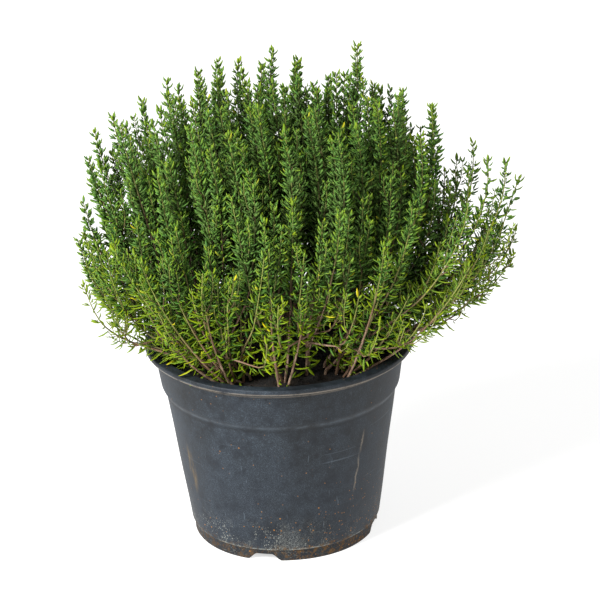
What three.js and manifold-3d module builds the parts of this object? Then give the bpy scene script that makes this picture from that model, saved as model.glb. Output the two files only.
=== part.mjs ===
// Potted thyme: a plastic nursery pot, the soil that fills it, and the bush of leafy sprays that grows in it.
// Lengths are millimetres and +Z is up. The origin is the centre of the pot's underside, on the floor.
import * as THREE from "three";
import { mergeVertices } from "three/addons/utils/BufferGeometryUtils.js";
import Module from "manifold-3d";

const wasm = await Module();
wasm.setup();

// The pot's outside: foot ring, tapered body, shoulder step, collar and turned-out rim.
const rimRadius = 85;
const potHeight = 130;
const rimThickness = 3.6;
const rimEdge = 1; // bevel round the rim
const collarTopRadius = 79.3;
const collarFootRadius = 75.5;
const bodyTopRadius = 73;
const bodyFootRadius = 60.4;
const footRadius = 58.7;
const shoulderHeight = 97.8; // where the body ends
const shoulderRise = 4;
const footHeight = 7.6;
const wall = 1.6;
const potSides = 34;

// The pot's underside: a flat pad in the middle, and a raised floor with drain holes round it.
const padRadius = 30;
const raisedFloor = 5.6;
const floorSlope = 6;
const drainCount = 8;
const drainRadius = 4.5;
const drainCircle = 46;
const notchCount = 4;
const notchWidth = 22;
const notchHeight = 4.8;
const firstNotch = THREE.MathUtils.degToRad(-104.5);

// The soil, a little below the rim and slightly domed.
const soilEdgeHeight = 119;
const soilDome = 4;
const soilClearance = 0.6; // between the soil and the pot
const soilSides = 20;
const soilBump = 1.1;

// The bush. Its plan is the unit disc, laid out small on the soil and wide where the tips stand.
const sprayCount = 36;
const shootCount = 74;
const layoutSeed = 24;
const leafSeed = 3;
const rootSpread = 57; // radius of the circle of roots on the soil
const crownPull = 0.42; // how far the roots gather towards the nearest crown
const crowns = [
  [-0.36, -0.62],
  [0.42, -0.66],
  [0.74, 0.08],
  [-0.78, 0.14],
  [0.0, 0.1],
  [0.5, 0.72],
  [-0.36, 0.74],
];
const canopyCentre = new THREE.Vector2(5.5, 8);
const canopyWidth = 136; // half the width, side to side
const canopySkew = 0.035; // the right side reaches further than the left by this share
const canopyDepth = 88; // half the depth, front to back
const canopyTop = 305;
const canopyDrop = 39; // how much lower the outermost tips are
const dropPower = 3.2; // how late they fall away
const dropLean = 0.19; // how much more they fall on the right
const backDrop = 0.22; // share of the drop behind, where the tips stay high
const cornerDrop = 45; // how much the two back corners are rounded off
const tipSpread = 15; // how much lower a tip may be at random
const flankFrom = 0.78; // shoots past this share of the disc end at all heights and fill the flank
const flankDrop = 95;
const flankCrowding = 1.5; // more than 1 crowds their ends towards the top
const flankStretch = 0.05; // how much further out the lowest of them reach
const shootJitter = 0.035; // on the unit disc
const archPower = 2.4; // how early a stem spreads outwards
const flankPower = 3.2;
const archLean = 0.15; // share of the spread that is a steady lean
const stirReach = 4.5; // slow bends that neighbours share
const goldenAngle = Math.PI * (3 - Math.sqrt(5));

// The stems are square, as on all plants of the mint family.
const rootDepth = 9.5;
const rootRise = 1.5; // a stem is upright up to here above the soil
const rootSide = 2.7;
const stemSide = 2.2; // at the lowest leaves
const tipSide = 1.3;
const branchSide = 1.7;
const holeClearance = 0.35;
const holeExtra = 0.4; // how much deeper than the root a hole is

// The leaves stand in whorls of four, each whorl turned half a step from the one below. An opposite pair of
// each whorl is full leaves, and the pair between is the small leaves of the side buds.
const whorlSpacing = 13.2;
const firstWhorl = 0.1; // share of the stem's height
const lastWhorl = 0.98;
const whorlCrowding = 1.15; // more than 1 crowds the whorls towards the tip
const leafLength = 9.2;
const tipLeafLength = 5.8;
const leafAngle = THREE.MathUtils.degToRad(62); // from the stem, at the lowest whorl
const tipLeafAngle = THREE.MathUtils.degToRad(38);
const smallLeaf = 0.68; // share of a full leaf's length and angle
const leafVariation = 0.2;
const budLength = 3.5;
const leafClearance = 2.6; // between a leaf's middle line and another spray's
const shortenings = [1, 0.82, 0.66, 0.5, 0.36];

const plastic = new THREE.MeshStandardMaterial({ color: 0x353c42, roughness: 0.55, metalness: 0 });
const earth = new THREE.MeshStandardMaterial({ color: 0x2a1c12, roughness: 1, metalness: 0 });
const foliage = new THREE.MeshStandardMaterial({ color: 0x41672c, roughness: 0.7, metalness: 0 });

// A small seeded generator of numbers from 0 to 1.
function randomFrom(seed) {
  let state = seed;
  return () => {
    state = (state + 0x6d2b79f5) | 0;
    let mixed = Math.imul(state ^ (state >>> 15), 1 | state);
    mixed = (mixed + Math.imul(mixed ^ (mixed >>> 7), 61 | mixed)) ^ mixed;
    return ((mixed ^ (mixed >>> 14)) >>> 0) / 4294967296;
  };
}

// Solids and geometries

function solidOf(geometry) {
  const bare = geometry.clone();
  bare.deleteAttribute("normal");
  bare.deleteAttribute("uv");
  const merged = mergeVertices(bare, 1e-4);
  return new wasm.Manifold(
    new wasm.Mesh({
      numProp: 3,
      vertProperties: merged.attributes.position.array,
      triVerts: new Uint32Array(merged.index.array),
    }),
  );
}

// The outermost skin alone, so that any hollow that joining has sealed is filled.
function filled(solid) {
  return solid.decompose().reduce((largest, skin) => (skin.volume() > largest.volume() ? skin : largest));
}

function geometryOf(solid) {
  const mesh = solid.getMesh();
  const geometry = new THREE.BufferGeometry();
  geometry.setAttribute("position", new THREE.BufferAttribute(mesh.vertProperties, 3));
  geometry.setIndex(new THREE.BufferAttribute(mesh.triVerts, 1));
  geometry.computeVertexNormals();
  return geometry;
}

// A profile of [radius, height] points turned about +Z.
function turned(profile, sides) {
  const points = profile.map(([radius, height]) => new THREE.Vector2(radius, height));
  return new THREE.LatheGeometry(points, sides).rotateX(Math.PI / 2);
}

// Pot

function potProfile() {
  const rimFoot = potHeight - rimThickness;
  const floorTop = raisedFloor + wall + 0.2;
  const shoulderTop = shoulderHeight + shoulderRise;
  const outside = [
    [0, 0],
    [padRadius, 0],
    [padRadius + floorSlope, raisedFloor],
    [footRadius - wall - 0.2, raisedFloor],
    [footRadius - wall, 0],
    [footRadius, 0],
    [footRadius + 0.2, footHeight],
    [bodyFootRadius, footHeight + 0.6],
    [bodyTopRadius, shoulderHeight],
    [collarFootRadius, shoulderTop],
    [collarTopRadius, rimFoot],
    [rimRadius - rimEdge, rimFoot],
    [rimRadius, rimFoot + rimEdge],
    [rimRadius, potHeight - rimEdge],
    [rimRadius - rimEdge, potHeight],
  ];
  const inside = [
    [collarTopRadius - wall, potHeight],
    [collarTopRadius - wall, rimFoot],
    [collarFootRadius - wall, shoulderTop + 0.4],
    [bodyTopRadius - wall, shoulderHeight + 0.4],
    [bodyFootRadius - wall, floorTop + 2],
    [footRadius - wall, floorTop],
    [padRadius + floorSlope - 1, floorTop],
    [padRadius - 1, wall + 0.2],
    [0, wall + 0.2],
  ];
  return [...outside, ...inside];
}

// An arched opening through the foot ring, along the radius at the given angle.
function drainageNotch(angle) {
  const arch = new THREE.Shape();
  arch.moveTo(-notchWidth / 2, -1);
  arch.lineTo(notchWidth / 2, -1);
  arch.lineTo(notchWidth * 0.3, notchHeight);
  arch.lineTo(-notchWidth * 0.3, notchHeight);
  const depth = 12;
  return new THREE.ExtrudeGeometry(arch, { depth, bevelEnabled: false })
    .rotateX(Math.PI / 2)
    .rotateZ(Math.PI / 2)
    .translate(footRadius - depth / 2, 0, 0)
    .rotateZ(angle);
}

function drainHole(angle) {
  return new THREE.CylinderGeometry(drainRadius, drainRadius, 8, 8)
    .rotateX(Math.PI / 2)
    .translate(drainCircle, 0, raisedFloor)
    .rotateZ(angle);
}

function makePot() {
  let solid = solidOf(turned(potProfile(), potSides));
  for (let i = 0; i < notchCount; i++)
    solid = solid.subtract(solidOf(drainageNotch(firstNotch + (i * 2 * Math.PI) / notchCount)));
  for (let i = 0; i < drainCount; i++)
    solid = solid.subtract(solidOf(drainHole(firstNotch + (i * 2 * Math.PI) / drainCount)));
  return new THREE.Mesh(geometryOf(solid), plastic);
}

// Soil

// Height of the soil's surface: a low dome with lumps.
function soilHeight(x, y) {
  const share = Math.min(1, Math.hypot(x, y) / bodyTopRadius);
  const lumps = Math.sin(x / 7.3 + 1.1) * Math.cos(y / 8.1) + 0.6 * Math.sin((x - y) / 5.2);
  return soilEdgeHeight + soilDome * (1 - share * share) + soilBump * lumps * (1 - share ** 6);
}

function makeSoil(roots) {
  const floorTop = raisedFloor + wall + 0.2;
  const collarFoot = shoulderHeight + shoulderRise;
  const slope = (collarTopRadius - collarFootRadius) / (potHeight - rimThickness - collarFoot);
  const edgeRadius = collarFootRadius - wall + slope * (soilEdgeHeight - collarFoot);
  const rings = [0.82, 0.6, 0.36, 0.16];
  const profile = [
    [0, wall + 0.2 + soilClearance],
    [padRadius - 1 - soilClearance, wall + 0.2 + soilClearance],
    [padRadius + floorSlope - 1 - soilClearance, floorTop + soilClearance],
    [footRadius - wall - soilClearance, floorTop + soilClearance],
    [bodyFootRadius - wall - soilClearance, floorTop + 2 + soilClearance],
    [bodyTopRadius - wall - soilClearance, shoulderHeight + 0.4],
    [collarFootRadius - wall - soilClearance, collarFoot + 0.4],
    [edgeRadius - soilClearance, soilEdgeHeight],
    ...rings.map((share) => [share * edgeRadius, potHeight]),
    [0, potHeight],
  ];
  const geometry = turned(profile, soilSides);
  const position = geometry.attributes.position;
  for (let i = 0; i < position.count; i++) {
    if (position.getZ(i) < soilEdgeHeight + 1) continue;
    position.setZ(i, soilHeight(position.getX(i), position.getY(i)));
  }
  let solid = solidOf(geometry);
  for (const root of roots) {
    const side = rootSide + 2 * holeClearance;
    const hole = new THREE.BoxGeometry(side, side, 40)
      .rotateZ(root.turn + Math.PI / 4)
      .translate(root.x, root.y, root.z - rootDepth - holeExtra + 20);
    solid = solid.subtract(solidOf(hole));
  }
  return new THREE.Mesh(geometryOf(solid), earth);
}

// Growth rule

// Point i of count on the unit disc, spread evenly as a sunflower's seeds are.
function seedPoint(i, count) {
  const radius = Math.sqrt((i + 0.5) / count);
  return new THREE.Vector2(Math.cos(i * goldenAngle), Math.sin(i * goldenAngle)).multiplyScalar(radius);
}

function nearest(point, places) {
  const distances = places.map((place) => place.distanceTo(point));
  return distances.indexOf(Math.min(...distances));
}

// Each shoot belongs to the spray with the nearest root, so that no spray grows across another.
function layOut() {
  const random = randomFrom(layoutSeed);
  const crownPoints = crowns.map(([u, v]) => new THREE.Vector2(u, v));
  const places = Array.from({ length: sprayCount }, (_, k) => seedPoint(k, sprayCount));
  const sprays = places.map((place) => {
    const gathered = place.clone().lerp(crownPoints[nearest(place, crownPoints)], crownPull);
    const x = gathered.x * rootSpread;
    const y = gathered.y * rootSpread;
    return { place, x, y, z: soilHeight(x, y), turn: random() * Math.PI, shoots: [] };
  });
  for (let i = 0; i < shootCount; i++) {
    const plan = seedPoint(i, shootCount);
    plan.x += (random() - 0.5) * 2 * shootJitter;
    plan.y += (random() - 0.5) * 2 * shootJitter;
    const low = plan.length() > flankFrom ? ((i * Math.SQRT2) % 1) ** flankCrowding : 0;
    const drop = random() * tipSpread + low * flankDrop;
    const power = THREE.MathUtils.lerp(archPower, flankPower, low);
    const turn = random() * Math.PI;
    const fork = 0.1 + 0.16 * random();
    const spray = sprays[nearest(plan, places)];
    spray.shoots.push({ plan: plan.multiplyScalar(1 + flankStretch * low), drop, power, turn, fork });
  }
  for (const spray of sprays)
    spray.shoots.sort((a, b) => a.plan.distanceTo(spray.place) - b.plan.distanceTo(spray.place));
  return sprays.filter((spray) => spray.shoots.length > 0);
}

// Where a shoot's tip stands: wide, lower towards the edge, and rounded off at the two back corners.
function tipPoint(shoot) {
  const { x: u, y: v } = shoot.plan;
  const x = canopyCentre.x + canopyWidth * u * (1 + canopySkew * u);
  const y = canopyCentre.y + canopyDepth * v;
  const edge = shoot.plan.length();
  const behind = Math.max(0, v);
  const edgeDrop = canopyDrop * Math.min(1, edge) ** dropPower * (1 + dropLean * u);
  const domeDrop = edgeDrop * THREE.MathUtils.lerp(1, backDrop, (behind / edge) ** 3);
  return new THREE.Vector3(x, y, canopyTop - domeDrop - cornerDrop * Math.abs(u) * behind - shoot.drop);
}

// The line of a shoot at height share t: from the root outwards in an arch, and up to the tip.
function stemPoint(spray, shoot, t) {
  const tip = tipPoint(shoot);
  const spread = archLean * t + (1 - archLean) * (1 - (1 - t) ** shoot.power);
  const x = spray.x + (tip.x - spray.x) * spread;
  const y = spray.y + (tip.y - spray.y) * spread;
  const z = spray.z + rootRise + (tip.z - spray.z - rootRise) * t;
  const stir = stirReach * Math.min(1, 3 * t);
  return new THREE.Vector3(
    x + stir * Math.sin(z / 31 + y / 52 + 1.3),
    y + stir * Math.sin(z / 27 + x / 47 + 4.1),
    z,
  );
}

// A side shoot's line leaves the main shoot's line at its fork.
function shootPoint(spray, index, t) {
  const main = stemPoint(spray, spray.shoots[0], t);
  if (index === 0) return main;
  const shoot = spray.shoots[index];
  const share = THREE.MathUtils.clamp((t - shoot.fork) / (0.5 - shoot.fork), 0, 1);
  return main.lerp(stemPoint(spray, shoot, t), share * (2 - share));
}

// Stems and leaves

// A square section across a stem: its centre, the stem's direction and two directions across it.
function crossAxes(centre, along, turn) {
  const first = new THREE.Vector3(Math.cos(turn), Math.sin(turn), 0);
  first.addScaledVector(along, -first.dot(along)).normalize();
  return { centre, along, first, second: along.clone().cross(first) };
}

function sectionAt(spray, index, t) {
  const step = 0.01;
  const along = shootPoint(spray, index, t + step).sub(shootPoint(spray, index, t - step)).normalize();
  return crossAxes(shootPoint(spray, index, t), along, spray.turn);
}

function outwards(section, angle) {
  const { first, second } = section;
  return first.clone().multiplyScalar(Math.cos(angle)).addScaledVector(second, Math.sin(angle));
}

// Collects rings of four points into one closed skin.
class StemSkin {
  constructor() {
    this.points = [];
    this.triangles = [];
  }
  add(point) {
    this.points.push(point);
    return this.points.length - 1;
  }
  ring(section, side, angle) {
    this.last = [0, 1, 2, 3].map((i) => {
      const direction = outwards(section, angle + (i * Math.PI) / 2);
      return this.add(direction.multiplyScalar(side / Math.SQRT2).add(section.centre));
    });
    return this.last;
  }
  start(section, side, angle) {
    const [a, b, c, d] = this.ring(section, side, angle);
    this.triangles.push([a, c, b], [a, d, c]);
  }
  rise(section, side, angle) {
    const lower = this.last;
    const upper = this.ring(section, side, angle);
    for (let i = 0; i < 4; i++) {
      const next = (i + 1) % 4;
      this.triangles.push([lower[i], lower[next], upper[next]], [lower[i], upper[next], upper[i]]);
    }
  }
  // The next ring is turned half a side, so four triangles stand on the last ring: each becomes a leaf.
  riseInLeaves(section, side, angle, tips) {
    const lower = this.last;
    const upper = this.ring(section, side, angle);
    for (let i = 0; i < 4; i++) {
      const next = (i + 1) % 4;
      const [a, b, c] = [lower[i], lower[next], upper[i]];
      const tip = this.add(tips[i]);
      this.triangles.push([a, b, tip], [b, c, tip], [c, a, tip], [b, upper[next], c]);
    }
  }
  finish(apex) {
    const top = this.add(apex);
    this.last.forEach((index, i) => this.triangles.push([index, this.last[(i + 1) % 4], top]));
  }
  geometry() {
    return new THREE.BufferGeometry().setFromPoints(this.points).setIndex(this.triangles.flat());
  }
}

// Points along every stem and leaf so far, by cell, each with its spray, so that sprays stay clear of others.
const taken = new Map();

function cellsRound(point, reach) {
  const [x, y, z] = point.toArray().map((v) => Math.floor(v / leafClearance));
  const keys = [];
  for (let i = -reach; i <= reach; i++)
    for (let j = -reach; j <= reach; j++)
      for (let k = -reach; k <= reach; k++) keys.push([x + i, y + j, z + k].join());
  return keys;
}

function take(owner, point) {
  const [key] = cellsRound(point, 0);
  if (!taken.has(key)) taken.set(key, []);
  taken.get(key).push({ owner, point });
}

function isClear(owner, point) {
  const near = cellsRound(point, 1).flatMap((key) => taken.get(key) ?? []);
  return near.every((other) => other.owner === owner || other.point.distanceTo(point) > leafClearance);
}

// A leaf's tip, drawn in towards the stem until the leaf clears the other sprays.
function leafTip(spray, section, above, angle, share, scale, random) {
  const vary = () => scale * (1 + leafVariation * (2 * random() - 1));
  const length = THREE.MathUtils.lerp(leafLength, tipLeafLength, share ** 2) * vary();
  const opening = THREE.MathUtils.lerp(leafAngle, tipLeafAngle, share) * vary();
  const tip = new THREE.Vector3();
  let samples;
  for (const shortening of shortenings) {
    tip.copy(section.centre);
    tip.addScaledVector(outwards(section, angle), length * shortening * Math.sin(opening * shortening));
    tip.addScaledVector(section.along, length * shortening * Math.cos(opening * shortening));
    const edges = [section.centre, above.centre];
    samples = [0.35, 0.7, 1].flatMap((part) => edges.map((centre) => centre.clone().lerp(tip, part)));
    if (samples.every((point) => isClear(spray, point))) break;
  }
  samples.forEach((point) => take(spray, point));
  return tip;
}

// Height shares of a shoot's whorls, evenly spaced along its line and closer near its tip.
function whorlLevels(spray, index, from) {
  const steps = 60;
  const shares = Array.from({ length: steps + 1 }, (_, i) => from + ((lastWhorl - from) * i) / steps);
  const line = new THREE.CatmullRomCurve3(shares.map((t) => shootPoint(spray, index, t)));
  const lengths = line.getLengths(steps);
  const length = lengths[steps];
  const count = Math.round(length / whorlSpacing);
  return Array.from({ length: count + 1 }, (_, w) => {
    const target = length * (1 - (1 - w / count) ** whorlCrowding);
    const above = Math.max(1, lengths.findIndex((reached) => reached >= target - 1e-6));
    const part = (target - lengths[above - 1]) / (lengths[above] - lengths[above - 1]);
    return THREE.MathUtils.lerp(shares[above - 1], shares[above], part);
  });
}

// One leafy shoot. The main one of a spray starts in the soil, and the others inside the main one.
function growShoot(spray, index, random) {
  const skin = new StemSkin();
  const shoot = spray.shoots[index];
  const turn = index === 0 ? 0 : shoot.turn;
  const lowSide = index === 0 ? stemSide : branchSide;
  const from = index === 0 ? firstWhorl : shoot.fork + 0.07;
  if (index === 0) {
    const root = new THREE.Vector3(spray.x, spray.y, spray.z - rootDepth);
    const upright = new THREE.Vector3(0, 0, 1);
    skin.start(crossAxes(root, upright, spray.turn), rootSide, 0);
    skin.rise(crossAxes(root.clone().setZ(spray.z + rootRise), upright, spray.turn), rootSide, 0);
  } else {
    skin.start(sectionAt(spray, index, shoot.fork), branchSide, turn);
  }
  const levels = whorlLevels(spray, index, from);
  let section = sectionAt(spray, index, levels[0]);
  skin.rise(section, lowSide, turn);
  for (let w = 1; w < levels.length; w++) {
    const above = sectionAt(spray, index, levels[w]);
    const angle = turn + (w * Math.PI) / 4;
    const share = w / (levels.length - 1);
    const tips = [1, smallLeaf, 1, smallLeaf].map((scale, i) =>
      leafTip(spray, section, above, angle + (i * Math.PI) / 2, share, scale, random),
    );
    skin.riseInLeaves(above, THREE.MathUtils.lerp(lowSide, tipSide, share), angle, tips);
    section = above;
  }
  skin.finish(section.centre.clone().addScaledVector(section.along, budLength));
  return skin.geometry();
}

// Points round the top of the rim, which leaves keep clear of too.
function takeRim() {
  for (const radius of [collarTopRadius, (collarTopRadius + rimRadius) / 2, rimRadius])
    for (let angle = 0; angle < 2 * Math.PI; angle += 0.025) {
      const { x, y } = new THREE.Vector2(radius, 0).rotateAround(new THREE.Vector2(), angle);
      take("pot", new THREE.Vector3(x, y, potHeight));
    }
}

function growBush(sprays) {
  takeRim();
  for (const spray of sprays)
    spray.shoots.forEach((shoot, index) => {
      for (let t = 0; t <= 1; t += 0.015) take(spray, shootPoint(spray, index, t));
    });
  const random = randomFrom(leafSeed);
  return sprays.map((spray) => {
    const shoots = spray.shoots.map((_, index) => solidOf(growShoot(spray, index, random)));
    const whole = shoots.reduce((joined, shoot) => joined.add(shoot));
    return new THREE.Mesh(geometryOf(filled(whole)), foliage);
  });
}

const thyme = new THREE.Group();
const sprays = layOut();
const pot = makePot();
pot.name = "pot";
const soil = makeSoil(sprays);
soil.name = "soil";
thyme.add(pot, soil);
growBush(sprays).forEach((mesh, k) => {
  mesh.name = "spray_" + String(k + 1).padStart(2, "0");
  thyme.add(mesh);
});

export default thyme;
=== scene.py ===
import math

import bpy
import numpy as np
from mathutils import Matrix, Vector


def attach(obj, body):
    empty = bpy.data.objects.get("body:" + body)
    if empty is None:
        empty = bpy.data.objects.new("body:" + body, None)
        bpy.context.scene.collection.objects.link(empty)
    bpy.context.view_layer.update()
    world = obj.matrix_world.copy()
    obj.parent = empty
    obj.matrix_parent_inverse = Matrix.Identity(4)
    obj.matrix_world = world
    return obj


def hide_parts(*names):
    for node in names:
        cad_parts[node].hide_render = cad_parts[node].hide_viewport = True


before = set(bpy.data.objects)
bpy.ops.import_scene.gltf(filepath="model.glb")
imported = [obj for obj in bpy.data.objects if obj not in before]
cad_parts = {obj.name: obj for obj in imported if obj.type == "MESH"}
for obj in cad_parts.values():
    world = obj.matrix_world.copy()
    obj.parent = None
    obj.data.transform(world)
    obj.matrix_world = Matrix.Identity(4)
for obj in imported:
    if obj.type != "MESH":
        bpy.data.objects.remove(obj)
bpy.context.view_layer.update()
print("frame loaded:", len(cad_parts), "nodes")

mm = 0.001
goldenAngle = math.pi * (3 - math.sqrt(5))


def link(name, data):
    # an object at the origin that shows the data
    holder = bpy.data.objects.new(name, data)
    bpy.context.collection.objects.link(holder)
    return holder


def makePiece(name, points, quads, materials, triangles=(), slots=None, smooth=True):
    # one mesh object at the origin from whole arrays: points (n, 3) in metres, quads (m, 4), triangles (k, 3)
    mesh = bpy.data.meshes.new(name)
    mesh.from_pydata(points, [], np.array(quads).tolist() + np.array(triangles).tolist())
    mesh.polygons.foreach_set("use_smooth", np.full(len(mesh.polygons), smooth))
    for material in materials:
        mesh.materials.append(material)
    if slots is not None:
        mesh.polygons.foreach_set("material_index", slots.astype(np.int32))
    mesh.validate()
    return link(name, mesh)


def paint(piece, name, colours):
    # three channels for each point, kept as an attribute that the materials read
    layer = piece.data.color_attributes.new(name, "FLOAT_COLOR", "POINT")
    full = np.ones((len(colours), 4), np.float32)
    full[:, :3] = colours
    layer.data.foreach_set("color", full.ravel())


def tubeFaces(rows, columns, way=1):
    # quads between the rings of a rows x columns grid of points, and a fan of triangles at each end, round
    # the two points that follow the grid. A way of -1 turns the faces over.
    count = rows * columns
    here = np.arange(count)
    after = here - here % columns + (here + 1) % columns
    quads = np.stack([here, after, after + columns, here + columns], -1)[: count - columns]
    first, last, pole = slice(columns), slice(count - columns, count), np.full(columns, count)
    start = np.stack([pole, after[first], here[first]], -1)
    end = np.stack([pole + 1, here[last], after[last]], -1)
    return quads[:, ::way], np.concatenate([start, end])[:, ::way]


def angles(count):
    # count angles spaced evenly round a circle
    return np.arange(count) / count * 2 * math.pi


def blend(first, second, share):
    # first where the share is 0, second where it is 1, and in proportion between
    return first + (second - first) * share


def smoothStep(low, high, value):
    # 0 below low, 1 above high, and between them the S of three squares less two cubes
    share = np.clip((value - low) / (high - low), 0, 1)
    return share * share * (3 - 2 * share)


def unit(vectors):
    # each vector over its own length
    return vectors / np.maximum(np.linalg.norm(vectors, axis=-1, keepdims=True), 1e-12)


class Wire:
    # one socket of a material's tree, with the arithmetic that adds Math nodes
    def __init__(self, tree, socket):
        self.tree, self.socket = tree, socket

    def math(self, operation, *values, clamp=False):
        # a Math node whose first input is this socket
        settings = {"operation": operation, "use_clamp": clamp}
        return self.tree.node("ShaderNodeMath", settings, dict(enumerate([self, *values])))

    def __add__(self, other):
        return self.math("ADD", other)

    def __mul__(self, other):
        return self.math("MULTIPLY", other)

    def __sub__(self, other):
        return self.math("SUBTRACT", other)

    def __rsub__(self, other):
        return self.tree.node("ShaderNodeMath", {"operation": "SUBTRACT"}, {0: other, 1: self})

    def __truediv__(self, other):
        return self.math("DIVIDE", other)

    __radd__ = __add__
    __rmul__ = __mul__

    def clamp(self):
        return self.math("ADD", 0.0, clamp=True)

    def between(self, low, high):
        # 0 at low, 1 at high, smooth between
        values = {"Value": self, "From Min": low, "From Max": high}
        return self.tree.node("ShaderNodeMapRange", {"interpolation_type": "SMOOTHSTEP"}, values)

    def near(self, centre, width):
        # 1 at the centre, falling evenly to 0 a width away from it
        return (1 - ((self - centre) / width).math("ABSOLUTE")).clamp()


class MaterialTree:
    # a material with its tree of nodes, each added through node
    def __init__(self, name):
        self.material = bpy.data.materials.new(name)
        self.material.use_nodes = True
        self.nodes = self.material.node_tree.nodes
        self.links = self.material.node_tree.links
        self.surface = self.nodes["Principled BSDF"]
        self.place = self.node("ShaderNodeTexCoord", out="Object")

    def feed(self, node, inputs):
        # inputs by name or number: a link where the value is a wire, and otherwise the value itself
        for key, value in inputs.items():
            if isinstance(value, Wire):
                self.links.new(value.socket, node.inputs[key])
            else:
                node.inputs[key].default_value = value

    def node(self, kind, settings=None, inputs=None, out=0):
        # a node with its settings made first, then its inputs, and one of its outputs
        node = self.nodes.new(kind)
        for key, value in (settings or {}).items():
            setattr(node, key, value)
        self.feed(node, inputs or {})
        return Wire(self, node.outputs[out])

    def noise(self, scale, detail=3.0, roughness=0.55, stretch=(1, 1, 1), shift=(0, 0, 0)):
        # fractal noise from 0 to 1 in the object's own space, scale in bumps a metre
        moved = {"Vector": self.place, "Scale": stretch, "Location": shift}
        place = self.node("ShaderNodeMapping", inputs=moved)
        values = {"Vector": place, "Scale": scale, "Detail": detail, "Roughness": roughness}
        return self.node("ShaderNodeTexNoise", inputs=values)

    def cells(self, scale, out="Distance"):
        # cells round points scattered by chance: the distance to the nearest point, or the cell's own colour
        return self.node("ShaderNodeTexVoronoi", inputs={"Vector": self.place, "Scale": scale}, out=out)

    def mix(self, factor, first, second):
        # colours: first where factor is 0, second where it is 1
        settings = {"data_type": "RGBA", "clamp_factor": True}
        return self.node("ShaderNodeMix", settings, {0: factor, 6: first, 7: second}, out=2)

    def parts(self, vector):
        # the three parts of a vector
        return [self.node("ShaderNodeSeparateXYZ", inputs={0: vector}, out=axis) for axis in range(3)]

    def vectorMath(self, operation, first, second=(0.0, 0.0, 0.0), out=0):
        return self.node("ShaderNodeVectorMath", {"operation": operation}, {0: first, 1: second}, out)

    def tone(self):
        # the three channels that paint left on the plant's points
        return self.parts(self.node("ShaderNodeAttribute", {"attribute_name": "leafTone"}, out="Vector"))

    def finish(self, colour, roughness, bump=None, strength=0.3, depth=0.001, **more):
        # the surface's colour and roughness, more inputs by name, and a bump on the normal
        inputs = {"Base Color": colour, "Roughness": roughness}
        inputs.update({key.replace("_", " "): value for key, value in more.items()})
        if bump is not None:
            values = {"Height": bump, "Strength": strength, "Distance": depth}
            inputs["Normal"] = self.node("ShaderNodeBump", inputs=values)
        self.feed(self.surface, inputs)
        return self.material


def rgb(*screen):
    # a colour as it looks on a screen, 0 to 255, made linear
    linear = [c / 255 / 12.92 if c < 10.3 else ((c / 255 + 0.055) / 1.055) ** 2.4 for c in screen]
    return (*linear, 1.0)


leafLook = dict(
    shadeGreen=rgb(5, 18, 1), mid=rgb(45, 96, 14), blue=rgb(50, 101, 42), fresh=rgb(128, 147, 4),
    underside=rgb(142, 178, 94), yellow=rgb(206, 188, 20), roughness=0.4, neutral=0.33,
)


def leafMaterial():
    # from the green of painted shade through middling greens up to the neutral freshness, then on to fresh
    # yellow-green, with a yellow leaf here and there and a pale underside, which also paints a highlight on
    # the leaf edges
    tree = MaterialTree("thymeLeaf")
    fresh, under, chance = tree.tone()
    patches = tree.noise(900, 2.0)
    neutral = leafLook["neutral"]
    top = tree.mix(chance, leafLook["mid"], leafLook["blue"])
    # freshness below the neutral value darkens the leaf towards shadeGreen: painted shade
    top = tree.mix((fresh / neutral).clamp(), leafLook["shadeGreen"], top)
    bright = (fresh - neutral + (patches - 0.5) * 0.2) / (1 - neutral)
    top = tree.mix(bright.clamp(), top, leafLook["fresh"])
    top = tree.mix(chance.between(0.965, 1.0) * fresh, top, leafLook["yellow"])
    # the pale underside on the keel, and on the leaf edges a painted highlight
    colour = tree.mix(under * (0.65 - fresh * 0.45), top, leafLook["underside"])
    return tree.finish(colour, leafLook["roughness"], patches, 0.25, 0.0003, Specular_IOR_Level=0.1)


stemLook = dict(
    bark=rgb(116, 88, 70), barkPale=rgb(178, 150, 126), pink=rgb(124, 94, 72), green=rgb(128, 134, 62),
    shade=rgb(14, 11, 7), roughness=0.75,
)


def stemMaterial():
    # woodiness is 1 at the root and 0 at the tip: from streaked bark to pink to green, and dark where shaded
    tree = MaterialTree("thymeStem")
    wood, shaded, _ = tree.tone()
    streaks = tree.noise(500, 3.0, stretch=(1, 1, 0.25))
    bark = tree.mix(streaks.between(0.35, 0.7), stemLook["bark"], stemLook["barkPale"])
    young = tree.mix(wood.between(0.15, 0.5), stemLook["green"], stemLook["pink"])
    colour = tree.mix(wood.between(0.45, 0.8), young, bark)
    colour = tree.mix(shaded * 0.85, colour, stemLook["shade"])
    return tree.finish(colour, stemLook["roughness"], streaks, 0.6, 0.0006)


soilLook = {"dark": rgb(12, 9, 6), "brown": rgb(36, 26, 17), "fibre": rgb(92, 70, 46)}


def soilMaterial():
    # dark and brown clods, with pale grit and fibres on them
    tree = MaterialTree("pottingSoil")
    clods = tree.noise(140, 4.0, 0.65)
    grit = tree.noise(900, 3.0, 0.7)
    colour = tree.mix(clods.between(0.42, 0.68), soilLook["dark"], soilLook["brown"])
    colour = tree.mix(grit.between(0.62, 0.74), colour, soilLook["fibre"])
    return tree.finish(colour, 0.95, clods + grit * 0.5, 1.0, 0.002)


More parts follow.
